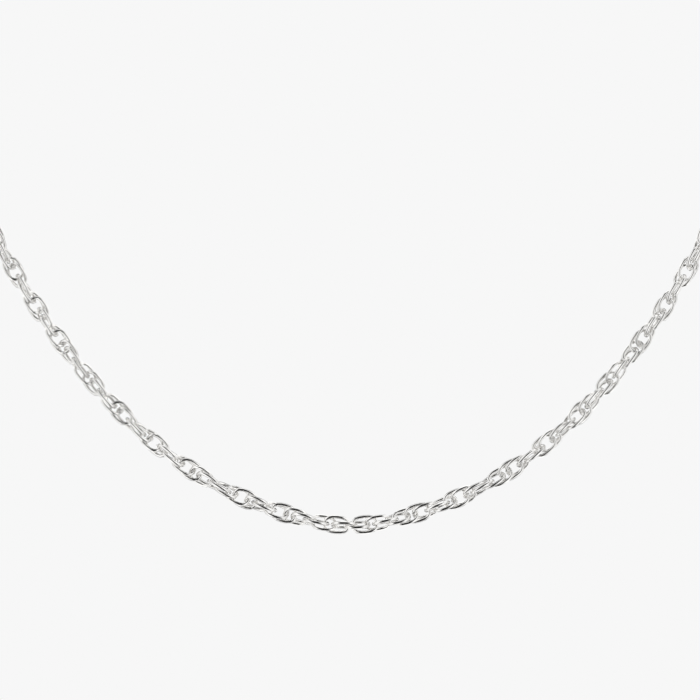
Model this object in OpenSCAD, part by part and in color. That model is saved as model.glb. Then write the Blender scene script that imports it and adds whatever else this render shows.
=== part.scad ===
// Rope chain necklace, in millimetres, closed round the neck as it is worn.
// The origin is the middle of the clasp at the nape: +Z is up, +X is to the right
// of somebody who faces the necklace, and its front hangs towards -Y.
// The front is made of real links, each turned a little past the one before it and
// passed through the two before it. The stretch round the neck is a plain round run.

/* [Loop] */
// Width of the loop round the neck, side to side
loop_w = 110; // [106:1:116]
// Depth of the loop round the neck, front to nape
loop_d = 117.8; // [110:0.2:130]
// How square the loop is from above, where 2 is an ellipse
loop_square = 3; // [2.2:0.1:3.2]
// Bending radius at the bottom of the hanging curve
hang_r = 26.7; // [25:0.1:30]
// Extra drop at the middle of the front
dip = 0.51; // [0:0.01:0.6]
// Reach of that drop to each side
dip_reach = 6.1; // [5:0.1:8]
// Height of the nape above the sides of the neck
nape_rise = 3; // [0:1:8]

/* [Link] */
// Outer length of a link
link_l = 2.78; // [2.74:0.01:2.84]
// Outer width of a link
link_w = 1.9; // [1.8:0.01:2]
// Diameter of the wire
wire_d = 0.25; // [0.2:0.01:0.26]
// How full the oval is, where 2 is an ellipse
oval = 2.5; // [2.4:0.1:2.8]
// Free play of a link against the second one after it
play = 0.18; // [0.16:0.01:0.2]
// Shift of every second link towards one neighbour
stagger = 0.25; // [0:0.05:0.3]
// Links on each side of the middle of the front
links_a_side = 48; // [10:1:48]

/* [Clasp] */
// Outer diameter of the ring at the nape
ring_d = 5; // [4.5:0.1:6]
// Diameter of the ring's wire
ring_wire = 0.9; // [0.8:0.05:1.1]
// Outer diameter of the eye on each side of the ring
eye_d = 2.4; // [2.2:0.1:2.8]
// Diameter of the eye's wire
eye_wire = 0.5; // [0.4:0.05:0.6]

/* [Hidden] */

silver = [0.78, 0.78, 0.79];

// Where links lie flat to the viewer and edge on to them by turns, as distances from the
// middle along the chain. A quarter turn of twist lies between each place and the next.
turn_places = [
    1.8, 3.8, 6.8, 9.1, 11.2, 14.2, 17.2, 20.1, 21.8, 24.8,
    26.7, 29.4, 31.4, 33.2, 36.3, 38.8, 40.5, 43.3, 45.2
];
// Length of a quarter turn past the last of them
quarter_turn = 2.4;
// In the very middle the links stay nearly edge on: this far, with so many degrees of turn
middle_reach = 0.5;
middle_turn = 15;

// Facets: round a link, round its wire, and round the plain run
link_sides = 12;
wire_sides = 5;
run_sides = 8;
// Rings along each half of the plain run
run_rings = 40;
// Space between the plain run and what it meets at each end
end_gap = 0.15;
// Share of the eye's wire that is soldered into the ring
eye_sunk = 0.4;

// A link reaches over two pitches of the chain, less its wire and its free play
pitch = (link_l - 2 * wire_d - play) / 2;

// The loop from above is a rounded square of half sides half_w and half_d. An angle
// of 0 is the middle of the front, 90 the side of the neck and 180 the nape.
half_w = loop_w / 2;
half_d = loop_d / 2;
function plan_r(a) =
    pow(pow(abs(sin(a)) / half_w, loop_square) + pow(abs(cos(a)) / half_d, loop_square),
        -1 / loop_square);

// Height over the bottom of the hanging curve, at a distance x from the middle
function cosh(v) = (exp(v) + exp(-v)) / 2;
function hang(x) = hang_r * (cosh(x / hang_r) - 1) - dip * exp(-pow(x / dip_reach, 2));
side_z = hang(half_w);
function height(a, x) = a < 90 ? hang(x) : side_z + nape_rise * pow(cos(a), 2);

// A point on the right half of the loop at an angle a
function loop_at(a) =
    let (r = plan_r(a), x = r * sin(a))
    [x, -r * cos(a) - half_d, height(a, x) - side_z - nape_rise];

// Length along the loop up to each angle, and the other way about
loop_steps = 720;
angles = [for (i = [0:loop_steps]) 180 * i / loop_steps];
loop_points = [for (a = angles) loop_at(a)];
lengths = [for (i = 0, s = 0; i <= loop_steps;
    s = s + (i < loop_steps ? norm(loop_points[i + 1] - loop_points[i]) : 0), i = i + 1) s];
half_loop = lengths[loop_steps];
angle_table = [for (i = [0:loop_steps]) [lengths[i], angles[i]]];

// A point at a distance s along the chain from the middle of the front, right positive
function mirror_x(p, s) = s < 0 ? [-p.x, p.y, p.z] : p;
function chain_at(s) = mirror_x(loop_at(lookup(abs(s), angle_table)), s);

// Directions there: along the chain, outwards from the neck, and across both
function unit(v) = v / norm(v);
step = 0.2;
function along(s) = unit(chain_at(s + step) - chain_at(s - step));
function outwards(t) = unit([t.y, -t.x, 0]);
function across(t) = cross(outwards(t), t);

// Twist of the chain at s, in degrees: 0 is a link flat to the viewer, 90 one edge on
turns = len(turn_places);
turn_table = [
    [0, 0],
    [middle_reach, middle_turn],
    for (i = [1:turns]) [turn_places[i - 1], 90 * i],
    [half_loop, 90 * (turns + (half_loop - turn_places[turns - 1]) / quarter_turn)]
];
function twist(s) = 90 + sign(s) * lookup(abs(s), turn_table);

// Place of each link, where every second one is shifted
function even_place(i) = (i + 0.5) * pitch;
function link_place(i) = even_place(i) + (i % 2 == 0 ? 1 : -1) * stagger / 2;

// A copy, moved to s and turned by w, of what lies along X and is flat in XY. The viewer
// looks along Y, so w counts from there: the outward direction leans off it to the sides.
module on_chain(s, w) {
    t = along(s);
    o = outwards(t);
    c = across(t);
    lean = atan2(-c.y, -o.y);
    flat = c * cos(w - lean) + o * sin(w - lean);
    face = cross(t, flat);
    p = chain_at(s);
    multmatrix([
        [t.x, flat.x, face.x, p.x],
        [t.y, flat.y, face.y, p.y],
        [t.z, flat.z, face.z, p.z]
    ]) children();
}

// Corners of the oval that the middle of the wire follows
function full(v) = sign(v) * pow(abs(v), 2 / oval);
oval_points = [for (i = [0:link_sides - 1]) let (a = 360 * i / link_sides)
    [full(cos(a)) * (link_l - wire_d) / 2, full(sin(a)) * (link_w - wire_d) / 2]];

// Outward direction at a corner, long enough to keep the wire's width along both sides
function side_normal(i) =
    let (d = unit(oval_points[(i + 1) % link_sides] - oval_points[i])) [d.y, -d.x];
function corner_normal(i) =
    let (n = side_normal((i + link_sides - 1) % link_sides), m = side_normal(i))
    (n + m) / (1 + n * m);

// Triangles between rings of points: rings, points on a ring, and how many rows join them
function ring_faces(rings, sides, rows) = [
    for (i = [0:rows - 1], k = [0:sides - 1])
        let (a = i * sides, b = (i + 1) % rings * sides, k2 = (k + 1) % sides)
        each [[a + k, a + k2, b + k2], [a + k, b + k2, b + k]]
];

module link() {
    points = [for (i = [0:link_sides - 1], k = [0:wire_sides - 1])
        let (a = 360 * k / wire_sides, p = oval_points[i] + corner_normal(i) * wire_d / 2 * cos(a))
        [p.x, p.y, wire_d / 2 * sin(a)]];
    polyhedron(points, ring_faces(link_sides, wire_sides, link_sides));
}

// The links that show, from the left end to the right end of the front
module chain_front() {
    color(silver)
        for (i = [-links_a_side:links_a_side - 1])
            on_chain(link_place(i), twist(even_place(i))) link();
}

// The plain run starts past the last link and ends before the clasp's eye
clasp_reach = ring_d / 2 + eye_d - eye_sunk * eye_wire;
run_start = link_place(links_a_side - 1) + link_l / 2 + end_gap;
run_end = half_loop - clasp_reach - end_gap;

module plain_run() {
    rings = [for (i = [0:run_rings - 1])
        let (s = run_start + (run_end - run_start) * i / (run_rings - 1), t = along(s))
        [for (k = [0:run_sides - 1]) let (a = 360 * (k + 0.5) / run_sides)
            chain_at(s) + link_w / 2 * (across(t) * cos(a) + outwards(t) * sin(a))]];
    points = [for (r = rings) each r];
    first = [for (k = [run_sides - 1:-1:0]) k];
    last = [for (k = [0:run_sides - 1]) (run_rings - 1) * run_sides + k];
    faces = concat(ring_faces(run_rings, run_sides, run_rings - 1), [first, last]);
    polyhedron(points, faces);
}

// Round both sides of the neck to the nape
module chain_back() {
    color(silver) {
        plain_run();
        mirror([1, 0, 0]) plain_run();
    }
}

// A round wire bent into a ring that stands across Y
module wire_ring(outer_d, wire) {
    rotate([90, 0, 0])
        rotate_extrude($fn = 96)
            translate([(outer_d - wire) / 2, 0]) circle(d = wire, $fn = 32);
}

// Ring with an eye soldered on at each side, which closes the chain at the nape
module clasp() {
    eye_x = clasp_reach - eye_d / 2;
    color(silver) {
        wire_ring(ring_d, ring_wire);
        for (side = [-1, 1])
            translate([side * eye_x, 0, 0]) wire_ring(eye_d, eye_wire);
    }
}

chain_front();
chain_back();
clasp();
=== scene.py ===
# %% [markdown]
# A rope chain necklace
#
# This is a fine silver chain, closed round the neck with a ring clasp. Its links are flat
# ovals of thin wire. Each one passes through the two before it and is turned a little
# further, so the links wind round each other like the strands of a rope.
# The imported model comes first. It fixes where everything is, and the scene only dresses it.

# %% The frame
import math

import bpy
import numpy as np
from mathutils import Matrix, Vector


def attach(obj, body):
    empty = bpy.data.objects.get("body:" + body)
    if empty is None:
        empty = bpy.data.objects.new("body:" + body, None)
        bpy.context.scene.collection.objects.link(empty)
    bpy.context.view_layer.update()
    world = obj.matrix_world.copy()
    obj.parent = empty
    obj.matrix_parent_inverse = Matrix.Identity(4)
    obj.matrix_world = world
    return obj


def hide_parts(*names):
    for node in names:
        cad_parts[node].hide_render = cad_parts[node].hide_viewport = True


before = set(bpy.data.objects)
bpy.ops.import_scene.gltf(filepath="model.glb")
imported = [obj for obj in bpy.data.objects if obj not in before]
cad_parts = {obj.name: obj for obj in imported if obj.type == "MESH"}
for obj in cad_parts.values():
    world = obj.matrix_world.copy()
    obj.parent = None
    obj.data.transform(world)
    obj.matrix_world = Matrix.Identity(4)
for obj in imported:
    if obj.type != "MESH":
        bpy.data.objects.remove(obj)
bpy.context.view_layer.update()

MM = 0.001

# %% [markdown]
# The chain follows one curve. Seen from above it is a rounded square, as a neck and
# shoulders give it. Its height is that of a hanging chain, a hyperbolic cosine, with a
# little extra drop in the middle of the front, and round the back of the neck it rises
# gently to the nape. These are the part's own sizes, in millimetres, so that the links
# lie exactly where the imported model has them.

# %% The curve of the loop
LOOP_W = 110
LOOP_D = 117.8
LOOP_SQUARE = 3
HANG_R = 26.7
DIP = 0.51
DIP_REACH = 6.1
NAPE_RISE = 3
LOOP_STEPS = 3600


def hang(x):
    """Height over the bottom of the hanging curve, at x from the middle."""
    return HANG_R * (np.cosh(x / HANG_R) - 1) - DIP * np.exp(-((x / DIP_REACH) ** 2))


def loop_points(angles):
    """Points of the right half of the loop, from the front at 0 to the nape at pi."""
    s = np.sin(angles)
    c = np.cos(angles)
    width_part = (np.abs(s) / (LOOP_W / 2)) ** LOOP_SQUARE
    depth_part = (np.abs(c) / (LOOP_D / 2)) ** LOOP_SQUARE
    r = (width_part + depth_part) ** (-1 / LOOP_SQUARE)
    side_z = hang(LOOP_W / 2)
    z = np.where(c > 0, hang(r * s), side_z + NAPE_RISE * c**2)
    return np.stack([r * s, -r * c - LOOP_D / 2, z - side_z - NAPE_RISE], axis=1)


HALF = loop_points(np.linspace(0, math.pi, LOOP_STEPS + 1))
LENGTHS = np.append(0, np.cumsum(np.linalg.norm(np.diff(HALF, axis=0), axis=1)))
HALF_LOOP = LENGTHS[-1]
print(f"the loop is {2 * HALF_LOOP:.1f} mm round")

# %% [markdown]
# A link needs a place and a way to face. The place is found by its distance along the
# chain from the middle of the front, which is the chain's own measure: links are spaced
# evenly along it. Three directions go with the place: along the chain, outwards from the
# neck, and across both. The first is taken from two points, a STEP to each side.

# %% A place on the chain
STEP = 0.2


def chain_at(s):
    """The point at a distance s from the middle of the front, with the right positive."""
    x, y, z = (np.interp(abs(s), LENGTHS, HALF[:, axis]) for axis in range(3))
    return Vector((math.copysign(x, s), y, z))


def directions(s):
    """Along the chain, outwards from the neck, and across both."""
    along = (chain_at(s + STEP) - chain_at(s - STEP)).normalized()
    outwards = Vector((along.y, -along.x, 0)).normalized()
    return along, outwards, outwards.cross(along)


front = chain_at(0)
print("lowest point of the front, mm:", [round(v, 1) for v in front])

# %% [markdown]
# The photograph is taken straight from the front. Its middle is level with a point well
# above the chain's bottom, and the chain's lowest point lies a hair to the right of it. A
# long lens from nearly a metre away keeps the links at the sides as large as those in the
# middle. The width of the view is the photograph's width at the real size of the chain,
# which the width of one link gives.

# %% The camera
PHOTO_PX = 700
LINK_W = 1.96
LINK_W_PX = 19.28
VIEW_W = PHOTO_PX * LINK_W / LINK_W_PX
VIEW_UP = 17.81
VIEW_ASIDE = -0.07
CAMERA_AWAY = 900
SENSOR = 36

bpy.ops.object.select_all(action="DESELECT")
bpy.ops.object.camera_add(
    location=[v * MM for v in (VIEW_ASIDE, front.y - CAMERA_AWAY, front.z + VIEW_UP)],
    rotation=(math.pi / 2, 0, 0),
)
camera = bpy.context.object
camera.name = "camera"
camera.data.sensor_width = SENSOR
camera.data.lens = SENSOR * CAMERA_AWAY / VIEW_W
bpy.context.scene.camera = camera
print(f"the view is {VIEW_W:.1f} mm wide, through a {camera.data.lens:.0f} mm lens")

# %% [markdown]
# One link is drawn wire bent round a former and soldered shut. A bezier circle is the
# quickest way to model it. It is stretched to an oval in edit mode, longer handles make
# the oval fuller than an ellipse, and its bevel gives it a round wire. The chain repeats
# the link hundreds of times, so the mesh has few faces: 16 steps round the oval, with six
# sides round the wire.

# %% One link
LINK_L = 2.82
WIRE_D = 0.34
QUARTER_STEPS = 4
WIRE_ROUNDING = 1
HANDLE_STRETCH = 1.2

bpy.ops.curve.primitive_bezier_circle_add(radius=MM)
link = bpy.context.object
link.name = "link"
bpy.ops.object.mode_set(mode="EDIT")
bpy.ops.transform.resize(value=((LINK_L - WIRE_D) / 2, (LINK_W - WIRE_D) / 2, 1))
bpy.ops.object.mode_set(mode="OBJECT")
for point in link.data.splines[0].bezier_points:
    point.handle_left_type = point.handle_right_type = "ALIGNED"
    point.handle_left = point.co + (point.handle_left - point.co) * HANDLE_STRETCH
    point.handle_right = point.co + (point.handle_right - point.co) * HANDLE_STRETCH
link.data.resolution_u = QUARTER_STEPS
link.data.bevel_depth = WIRE_D / 2 * MM
link.data.bevel_resolution = WIRE_ROUNDING
bpy.ops.object.convert(target="MESH")
bpy.ops.object.shade_smooth()
size = [v / MM for v in link.dimensions]
print(f"link: {size[0]:.2f} x {size[1]:.2f} x {size[2]:.2f} mm, {len(link.data.polygons)} faces")

# %% [markdown]
# The twist is what makes the rope. The photograph shows links flat to the viewer and edge
# on by turns, a quarter turn apart. TURN_PLACES has the distances of such places from the
# middle, where the links stay nearly edge on. Round the neck the twist is even. The last
# link hangs in the clasp's eye, which begins EYE_INSIDE from the nape, and the twist ends
# so that it stands across the eye. The links go in pairs: each one reaches to the second
# one after it, and every second link lies a little nearer to one of its neighbours.

# %% The twist
PITCH = 1.05
STAGGER = 0.25
TURN_PLACES = [
    1.8, 3.8, 6.8, 9.1, 11.2, 14.2, 17.2, 20.1, 21.8, 24.8,
    26.7, 29.4, 31.4, 33.2, 36.3, 38.8, 40.5, 43.3, 45.2,
]
QUARTER_TURN = 2.4
MIDDLE_REACH = 0.5
MIDDLE_TURN = math.radians(15)
EYE_INSIDE = 4.2
LAST_EVEN = HALF_LOOP - EYE_INSIDE + WIRE_D - (LINK_L + STAGGER) / 2

quarters = list(range(1, len(TURN_PLACES) + 1))
quarters.append(2 * round((quarters[-1] + (LAST_EVEN - TURN_PLACES[-1]) / QUARTER_TURN) / 2))
TURN_AT = [0, MIDDLE_REACH, *TURN_PLACES, LAST_EVEN]
TURNS = [0, MIDDLE_TURN] + [math.pi / 2 * q for q in quarters]


def twist(s):
    """The angle of a link at s, where 0 is flat to the viewer and pi / 2 edge on."""
    return math.pi / 2 + math.copysign(np.interp(abs(s), TURN_AT, TURNS), s)


quarter_behind = (LAST_EVEN - TURN_PLACES[-1]) / (quarters[-1] - quarters[-2])
print(f"round the neck, a quarter turn takes {quarter_behind:.2f} mm")

# %% [markdown]
# The turns count from where the viewer stands, straight in front. The outward direction
# turns away from there as the chain climbs to the sides, so each link is turned back by
# that lean. The stretch round the neck isn't seen from the front, so the lean fades out
# there, over as much length again as half of the front has.

# %% The lean
LINKS_A_SIDE = 48
FRONT_REACH = LINKS_A_SIDE * PITCH
LEAN_GONE = 2 * FRONT_REACH


def lean(s):
    """How far the outward direction is turned from the viewer, seen along the chain."""
    outwards, across = directions(math.copysign(min(abs(s), FRONT_REACH), s))[1:]
    fade = np.interp(abs(s), [FRONT_REACH, LEAN_GONE], [1, 0])
    return math.atan2(-across.y, -outwards.y) * fade


print(f"lean at the end of the front: {math.degrees(lean(FRONT_REACH)):.0f} degrees")

# %% [markdown]
# Every link is a copy of the first with its own mesh. The mesh is turned and moved into
# place and the object stays at the origin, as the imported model's objects do. The copies
# of a stretch are then joined into one piece.

# %% Placing the links


def strung(i, even):
    """The place and the turn of link i, where an even pitch would put it at even."""
    s = even + (STAGGER / 2 if i % 2 == 0 else -STAGGER / 2)
    return s, twist(even) - lean(s)


def link_matrix(s, turn):
    """Turns and moves a link that lies along X to its place at s."""
    along, outwards, across = directions(s)
    flat = across * math.cos(turn) + outwards * math.sin(turn)
    face = along.cross(flat)
    place = Matrix((along, flat, face)).transposed().to_4x4()
    place.translation = chain_at(s) * MM
    return place


def string_links(name, places):
    """Copies of the link at these places, joined into one piece."""
    copies = []
    for s, turn in places:
        copy = link.copy()
        copy.data = link.data.copy()
        copy.data.transform(link_matrix(s, turn))
        bpy.context.collection.objects.link(copy)
        copies.append(copy)
    bpy.ops.object.select_all(action="DESELECT")
    for copy in copies:
        copy.select_set(True)
    bpy.context.view_layer.objects.active = copies[0]
    bpy.ops.object.join()
    piece = bpy.context.object
    piece.name = piece.data.name = name
    return piece


# %% [markdown]
# The front is the stretch that the photograph shows. Its links replace those of the packed
# model one by one. The links round the neck replace the plain run: they go on at nearly the
# same pitch to the clasp, as many on the left as on the right. Their number on each side is
# odd, so that the last one is shifted towards the clasp.

# %% The two stretches of chain
front_places = [strung(i, (i + 0.5) * PITCH) for i in range(-LINKS_A_SIDE, LINKS_A_SIDE)]

first_even = (LINKS_A_SIDE + 0.5) * PITCH
links_behind = 2 * round((LAST_EVEN - first_even) / PITCH / 2) + 1
behind = list(enumerate(np.linspace(first_even, LAST_EVEN, links_behind), LINKS_A_SIDE))
right_places = [strung(i, even) for i, even in behind]
left_places = [strung(-1 - i, -even) for i, even in behind]

front_links = string_links("front_links", front_places)
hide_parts("chain_front")
back_links = string_links("back_links", right_places + left_places)
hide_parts("chain_back")
bpy.data.objects.remove(link)

for piece in (front_links, back_links):
    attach(piece, "root")
    print(piece.name, len(piece.data.polygons), "faces")
print(len(front_places) + 2 * links_behind, "links in all")

# %% [markdown]
# Colours are written as they look on a screen, in sRGB hex, and turned to the linear
# values that the shaders need.

# %% Colour and node helpers


def linear(hex_colour):
    """Linear red, green, blue and alpha of an sRGB colour such as #C8C8CA."""
    channels = [int(hex_colour[i : i + 2], 16) / 255 for i in (1, 3, 5)]
    return [c / 12.92 if c <= 0.04045 else ((c + 0.055) / 1.055) ** 2.4 for c in channels] + [1]


def add_node(tree, kind, links=(), **settings):
    """A node with its settings, whose inputs are fed by links or hold values."""
    node = tree.nodes.new(kind)
    for name, value in settings.items():
        setattr(node, name, value)
    for socket, source in dict(links).items():
        if isinstance(source, bpy.types.NodeSocket):
            tree.links.new(source, node.inputs[socket])
        else:
            node.inputs[socket].default_value = source
    return node


print("mid grey is", round(linear("#808080")[0], 3), "in linear light")

# %% [markdown]
# Polished sterling silver is nearly a mirror. What the eye sees of it is what stands
# around it, so it needs only a little of its own. A trace of tarnish, which polishing
# leaves unevenly, makes soft clouds of tone and gloss, each about half a link long. The
# buffing wheel leaves fine hairlines. The real ones are a few thousandths of a millimetre
# apart, too fine to show, so they are drawn ten times as coarse and very shallow.

# %% Polished silver
CLOUD = 1.5
CLOUD_DETAIL = 3
CLOUD_RANGE = (0.35, 0.6)
CLOUD_TONES = ("#E2E1DF", "#F4F3F1")
SMOOTHEST = 0.03
ROUGHEST = 0.05
HAIRLINE = 0.05
HAIRLINE_DETAIL = 1
HAIRLINE_DEPTH = 0.002
HAIRLINE_STRENGTH = 0.02


def polished_silver():
    """Sterling silver, buffed: bright and neutral, with soft clouds of tone."""
    material = bpy.data.materials.new("polished_silver")
    material.use_nodes = True
    tree = material.node_tree
    shader = tree.nodes["Principled BSDF"]
    shader.inputs["Metallic"].default_value = 1
    place = add_node(tree, "ShaderNodeTexCoord").outputs["Object"]

    cloud = add_node(
        tree,
        "ShaderNodeTexNoise",
        {"Vector": place, "Scale": 1 / (CLOUD * MM), "Detail": CLOUD_DETAIL},
    ).outputs["Fac"]
    tone = add_node(tree, "ShaderNodeValToRGB", {"Fac": cloud})
    for element, at, colour in zip(tone.color_ramp.elements, CLOUD_RANGE, CLOUD_TONES):
        element.position = at
        element.color = linear(colour)
    tree.links.new(tone.outputs["Color"], shader.inputs["Base Color"])
    gloss = add_node(
        tree, "ShaderNodeMapRange", {"Value": cloud, "To Min": SMOOTHEST, "To Max": ROUGHEST}
    )
    tree.links.new(gloss.outputs["Result"], shader.inputs["Roughness"])

    hairlines = add_node(
        tree,
        "ShaderNodeTexNoise",
        {"Vector": place, "Scale": 1 / (HAIRLINE * MM), "Detail": HAIRLINE_DETAIL},
    ).outputs["Fac"]
    bump = add_node(
        tree,
        "ShaderNodeBump",
        {"Height": hairlines, "Strength": HAIRLINE_STRENGTH, "Distance": HAIRLINE_DEPTH * MM},
    )
    tree.links.new(bump.outputs["Normal"], shader.inputs["Normal"])
    return material


silver = polished_silver()
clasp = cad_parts["clasp"]
for piece in (front_links, back_links, clasp):
    piece.data.materials.clear()
    piece.data.materials.append(silver)
print("silver on", front_links.name, back_links.name, clasp.name)

# %% [markdown]
# Polished wire shows only what stands around it. Here that is a tall soft box on the left
# and one on the right, with a dark gap between them where the camera stands, and a round
# light above and below. Wire that runs level mirrors the gap, and shows a dark core between
# bright rims. Wire that runs up and down mirrors the boxes, and stays mostly bright.
# All of this stands in the world's shader, where each light is a range of directions. The
# shader first needs the way that a ray goes, as an arrow of length 1. It is turned a few
# degrees, because the twist leans all strands one way, and so both halves of the front
# are lit alike.

# %% The way that a ray goes
LIGHT_TURN = math.radians(4)

scene = bpy.context.scene
scene.view_settings.view_transform = "Standard"
world = bpy.data.worlds.new("soft_boxes")
scene.world = world
world.use_nodes = True
tree = world.node_tree
tree.nodes.clear()
ray = add_node(tree, "ShaderNodeTexCoord").outputs["Generated"]
way = add_node(
    tree, "ShaderNodeVectorRotate", {"Vector": ray, "Angle": LIGHT_TURN}, rotation_type="Y_AXIS"
).outputs[0]
print(f"the lights are turned by {math.degrees(LIGHT_TURN):.0f} degrees")

# %% [markdown]
# The sideways part of that arrow is 0 where the ray goes straight ahead, up or down, and
# grows to 1 where it goes straight to the left or right. Below GAP it meets the dark gap,
# and past that a box, whose edge is GAP_EDGE soft. The gap grows a little wider towards
# the top and bottom.

# %% The soft boxes
WHITE = 1.35
GAP = 0.2
GAP_EDGE = 0.3
GAP_GROWTH = 0.1

sizes = add_node(tree, "ShaderNodeVectorMath", {0: way}, operation="ABSOLUTE").outputs[0]
aside, _, steep = add_node(tree, "ShaderNodeSeparateXYZ", {"Vector": sizes}).outputs
clear = add_node(
    tree, "ShaderNodeMath", {0: steep, 1: -GAP_GROWTH, 2: aside}, operation="MULTIPLY_ADD"
).outputs[0]
boxes = add_node(
    tree,
    "ShaderNodeMapRange",
    {"Value": clear, "From Min": GAP, "From Max": GAP + GAP_EDGE, "To Max": WHITE},
).outputs[0]
print(f"the gap between the boxes is {2 * math.degrees(math.asin(GAP)):.0f} degrees wide")

# %% [markdown]
# Seen from above, the arrow's tip lies in a circle, and a ray that goes straight up or
# down has it in the middle. The round lights stand a little behind the chain, so they are
# a spot ROUND_AT behind that middle. The height of the tip doesn't count, and one spot
# gives both lights, the one above and the one below.

# %% The round lights
ROUND_AT = 0.35
ROUND_INNER = 0.35
ROUND_OUTER = 0.55

plan = add_node(
    tree, "ShaderNodeVectorMath", {0: way, 1: (1, 1, 0)}, operation="MULTIPLY"
).outputs[0]
from_spot = add_node(
    tree, "ShaderNodeVectorMath", {0: plan, 1: (0, ROUND_AT, 0)}, operation="DISTANCE"
).outputs["Value"]
rounds = add_node(
    tree,
    "ShaderNodeMapRange",
    {"Value": from_spot, "From Min": ROUND_OUTER, "From Max": ROUND_INNER, "To Max": WHITE},
).outputs[0]
print(f"the round lights fade out over {ROUND_OUTER - ROUND_INNER:.1f} of the arrow's length")

# %% [markdown]
# Where both kinds of light meet, the brighter one counts. All of it dims softly from
# DIM_START to the far left and right, which gives the wire its greys, and the dark studio
# around the lights gives a little light too. The camera itself sees only a pale backdrop,
# and not the lights.

# %% All lights together, and the backdrop
DIM_START = 0.5
DIM_LEAST = 0.5
DARK = 0.04
LAMP = "#FFFFFF"
PALE = "#F7F7F7"

white = add_node(
    tree, "ShaderNodeMath", {0: boxes, 1: rounds}, operation="MAXIMUM"
).outputs[0]
dim = add_node(
    tree,
    "ShaderNodeMapRange",
    {"Value": aside, "From Min": DIM_START, "From Max": 1, "To Min": 1, "To Max": DIM_LEAST},
).outputs[0]
strength = add_node(
    tree, "ShaderNodeMath", {0: white, 1: dim, 2: DARK}, operation="MULTIPLY_ADD"
).outputs[0]
lights = add_node(tree, "ShaderNodeBackground", {"Color": linear(LAMP), "Strength": strength})
backdrop = add_node(tree, "ShaderNodeBackground", {"Color": linear(PALE), "Strength": 1})
seen = add_node(tree, "ShaderNodeLightPath").outputs["Is Camera Ray"]
both = add_node(
    tree, "ShaderNodeMixShader", {0: seen, 1: lights.outputs[0], 2: backdrop.outputs[0]}
)
add_node(tree, "ShaderNodeOutputWorld", {"Surface": both.outputs[0]})
print("light:", world.name, len(tree.nodes), "nodes")

# %% [markdown]
# The floor is a plain pale sheet well below the necklace, which hangs free above it. A
# little light comes through it from below, as on a light table, so that the silver stands
# out against it from above. The silver doesn't mirror it, as the lower half of every wire
# would turn white.

# %% The floor
FLOOR_BELOW = 200
FLOOR_SIDE = 6000
FLOOR_ROUGHNESS = 0.9
FLOOR_GLOW = 0.17

bpy.ops.object.select_all(action="DESELECT")
bpy.ops.mesh.primitive_plane_add(
    size=FLOOR_SIDE * MM, location=(0, -LOOP_D / 2 * MM, (front.z - FLOOR_BELOW) * MM)
)
floor = bpy.context.object
floor.name = "floor"
floor.visible_glossy = False
paper = bpy.data.materials.new("matt_paper")
paper.use_nodes = True
sheet = paper.node_tree.nodes["Principled BSDF"]
sheet.inputs["Base Color"].default_value = linear(PALE)
sheet.inputs["Roughness"].default_value = FLOOR_ROUGHNESS
sheet.inputs["Emission Color"].default_value = linear(PALE)
sheet.inputs["Emission Strength"].default_value = FLOOR_GLOW
floor.data.materials.append(paper)
print("floor at", round(floor.location.z / MM, 1), "mm")
